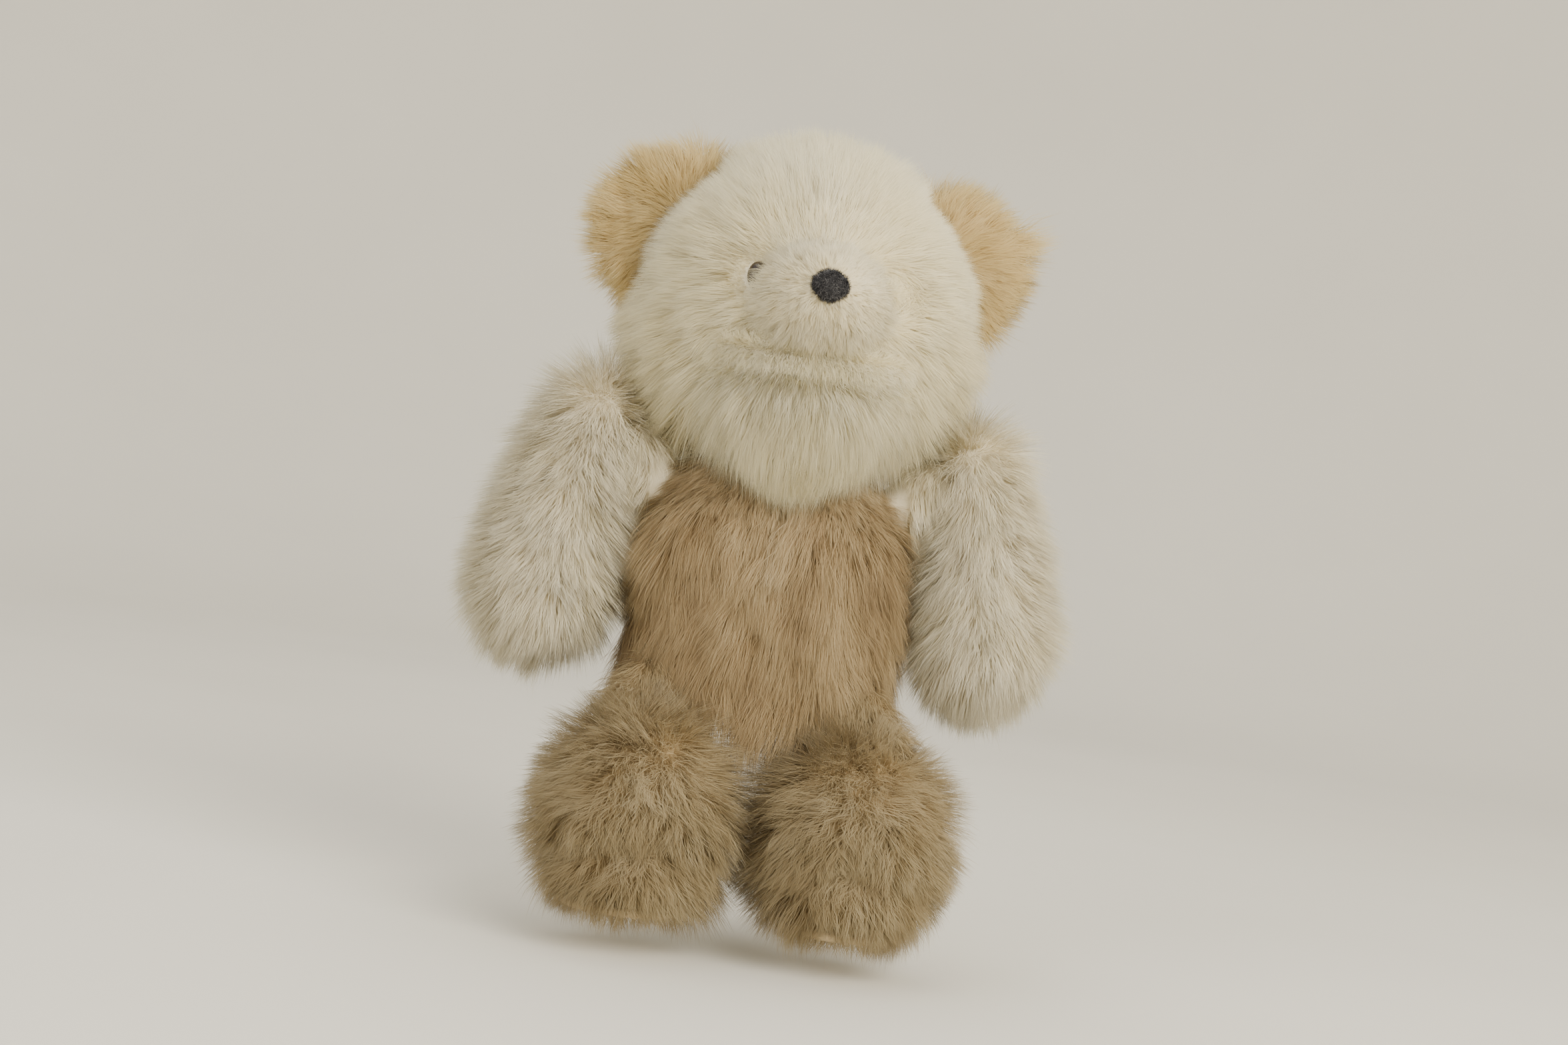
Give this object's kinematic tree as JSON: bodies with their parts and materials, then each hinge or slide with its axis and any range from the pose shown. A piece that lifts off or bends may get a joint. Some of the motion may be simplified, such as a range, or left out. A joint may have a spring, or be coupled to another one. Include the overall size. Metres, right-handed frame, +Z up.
{
  "type": "moving mouth hand puppet",
  "caption": "Long-haired bear glove puppet whose mouth, head, arms and legs move, open at the wrist for a hand.",
  "frame": {"origin": "centre of the wrist opening, at the lower edge of its hem", "axes": "+Z up through the head, -Y out of the face, +X towards the bear's own left"},
  "size_m": [0.2158, 0.1386, 0.2833],
  "materials": {
    "tan_fur": "long combed fibre, matt",
    "leg_fur": "long curly fibre, matt",
    "cream_fur": "long fluffy fibre, matt",
    "ear_fur": "long fluffy fibre, matt",
    "shorn_fur": "short clipped pile, matt",
    "stuffing": "loose fibre",
    "lining_cloth": "plain weave, matt",
    "hide": "suede, matt",
    "board": "stiff board, matt",
    "mouth_felt": "felt, matt",
    "nose_felt": "felt, matt",
    "eye_plastic": "polished",
    "washer_plastic": "moulded"
  },
  "bodies": {
    "torso": {"body_front_pelt": "tan_fur", "body_back_pelt": "tan_fur", "opening_hem": "hide", "glove_lining": "lining_cloth"},
    "neck": {"neck_sleeve": "hide"},
    "head": {"head_left_pelt": "cream_fur", "head_right_pelt": "cream_fur", "head_gusset_pelt": "cream_fur", "crown_stuffing": "stuffing", "left_cheek_stuffing": "stuffing", "right_cheek_stuffing": "stuffing", "nape_stuffing": "stuffing", "muzzle_pelt": "shorn_fur", "muzzle_stuffing": "stuffing", "nose_pad": "nose_felt", "finger_pocket": "lining_cloth", "upper_mouth_felt": "mouth_felt", "upper_mouth_board": "board", "left_eye": "eye_plastic", "right_eye": "eye_plastic", "left_eye_washer": "washer_plastic", "right_eye_washer": "washer_plastic", "left_ear_front_pelt": "ear_fur", "left_ear_back_pelt": "ear_fur", "right_ear_front_pelt": "ear_fur", "right_ear_back_pelt": "ear_fur"},
    "jaw": {"chin_pelt": "cream_fur", "chin_stuffing": "stuffing", "lower_mouth_felt": "mouth_felt", "lower_mouth_board": "board", "thumb_pocket": "lining_cloth"},
    "left_arm": {"left_arm_pelt": "cream_fur", "left_arm_stuffing": "stuffing"},
    "right_arm": {"right_arm_pelt": "cream_fur", "right_arm_stuffing": "stuffing"},
    "left_leg": {"left_leg_pelt": "leg_fur", "left_leg_stuffing": "stuffing", "left_foot_sole": "hide"},
    "right_leg": {"right_leg_pelt": "leg_fur", "right_leg_stuffing": "stuffing", "right_foot_sole": "hide"}
  },
  "joints": [
    {"name": "head_turn", "type": "hinge", "parent": "torso", "child": "neck", "pos_m": [0, 0, 0.0795], "axis": [0, 0, 1], "range_deg": [-30, 30], "stiffness_Nm_per_rad": 0.03},
    {"name": "head_nod", "type": "hinge", "parent": "neck", "child": "head", "pos_m": [0, 0, 0.088], "axis": [1, 0, 0], "range_deg": [-10, 10], "stiffness_Nm_per_rad": 1.5},
    {"name": "jaw_open", "type": "hinge", "parent": "head", "child": "jaw", "pos_m": [0, -0.005, 0.126], "axis": [1, 0, 0], "range_deg": [0, 25], "stiffness_Nm_per_rad": 0.05, "springref_deg": -28.65},
    {"name": "left_arm_swing", "type": "hinge", "parent": "torso", "child": "left_arm", "pos_m": [0.071, 0, 0.098], "axis": [-1, 0, 0], "range_deg": [-30, 90]},
    {"name": "right_arm_swing", "type": "hinge", "parent": "torso", "child": "right_arm", "pos_m": [-0.071, 0, 0.098], "axis": [-1, 0, 0], "range_deg": [-30, 90]},
    {"name": "left_leg_swing", "type": "hinge", "parent": "torso", "child": "left_leg", "pos_m": [0.04, -0.034, -0.001], "axis": [-1, 0, 0], "range_deg": [-15, 85]},
    {"name": "right_leg_swing", "type": "hinge", "parent": "torso", "child": "right_leg", "pos_m": [-0.04, -0.034, -0.001], "axis": [-1, 0, 0], "range_deg": [-15, 85]}
  ]
}
